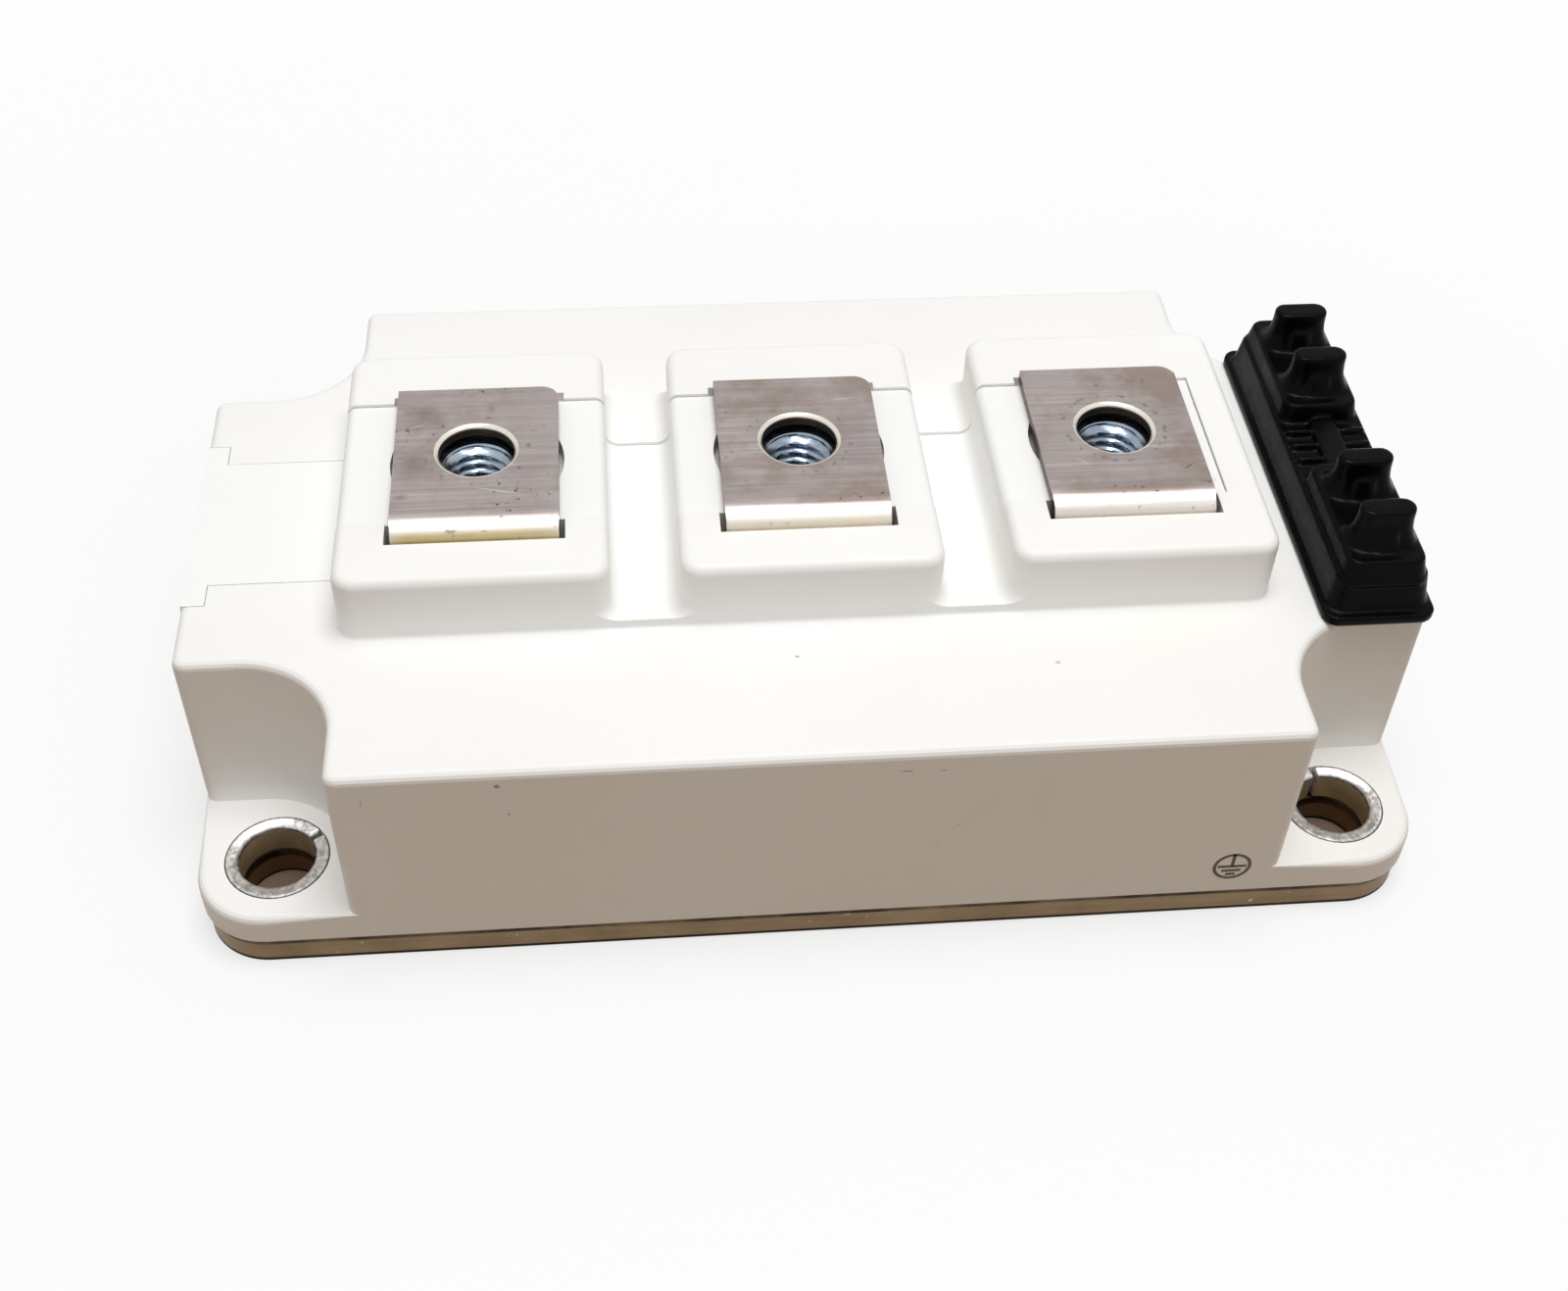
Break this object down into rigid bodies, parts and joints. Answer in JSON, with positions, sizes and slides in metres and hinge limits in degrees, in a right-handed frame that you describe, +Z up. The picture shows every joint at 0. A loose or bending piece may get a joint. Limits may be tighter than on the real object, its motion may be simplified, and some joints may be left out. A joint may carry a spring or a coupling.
{
  "type": "igbt module",
  "caption": "Half-bridge power module: white moulded case on a copper base, screw terminals in a row on top, control tabs under a black rubber cap, corner screw holes.",
  "frame": {"origin": "middle of the baseplate's underside", "axes": "+X along the module towards the control tabs, +Y to the back (away from the terminals' legs), +Z up out of the terminals"},
  "size_m": [0.1064, 0.0614, 0.0323],
  "materials": {
    "nickel_copper": "dull nickel plating on copper",
    "case_plastic": "fine matt moulding, cream white",
    "carrier_plastic": "smooth matt moulding, white",
    "zinc_steel": "bright zinc plating, bluish",
    "terminal_metal": "rolled, tin-plated copper, lightly scratched",
    "sleeve_steel": "bright cut edge, duller bore",
    "tab_metal": "tin-plated brass strip",
    "black_rubber": "conductive rubber with a soft sheen",
    "adhesive": "cured sealant",
    "gel": "clear soft gel",
    "solder": "dull solder",
    "bare_copper": "bare copper",
    "ceramic_white": "fired, unglazed",
    "silicon": "metallised silicon",
    "aluminium_wire": "drawn wire"
  },
  "bodies": {
    "root": {"baseplate": "nickel_copper", "housing": "case_plastic", "nut_carrier": "carrier_plastic", "nut_1": "zinc_steel", "nut_2": "zinc_steel", "nut_3": "zinc_steel", "terminal_1": "terminal_metal", "terminal_2": "terminal_metal", "terminal_3": "terminal_metal", "sleeve_front_left": "sleeve_steel", "sleeve_front_right": "sleeve_steel", "sleeve_back_left": "sleeve_steel", "sleeve_back_right": "sleeve_steel", "control_tab_1": "tab_metal", "control_tab_2": "tab_metal", "control_tab_3": "tab_metal", "control_tab_4": "tab_metal", "esd_cap": "black_rubber", "adhesive_bead": "adhesive", "gel_fill": "gel", "base_solder_left": "solder", "backing_copper_left": "bare_copper", "ceramic_left": "ceramic_white", "circuit_copper_left": "bare_copper", "chip_solder_left": "solder", "igbt_chips_left": "silicon", "diode_chips_left": "silicon", "bond_wires_left": "aluminium_wire", "base_solder_right": "solder", "backing_copper_right": "bare_copper", "ceramic_right": "ceramic_white", "circuit_copper_right": "bare_copper", "chip_solder_right": "solder", "igbt_chips_right": "silicon", "diode_chips_right": "silicon", "bond_wires_right": "aluminium_wire"}
  },
  "joints": []
}
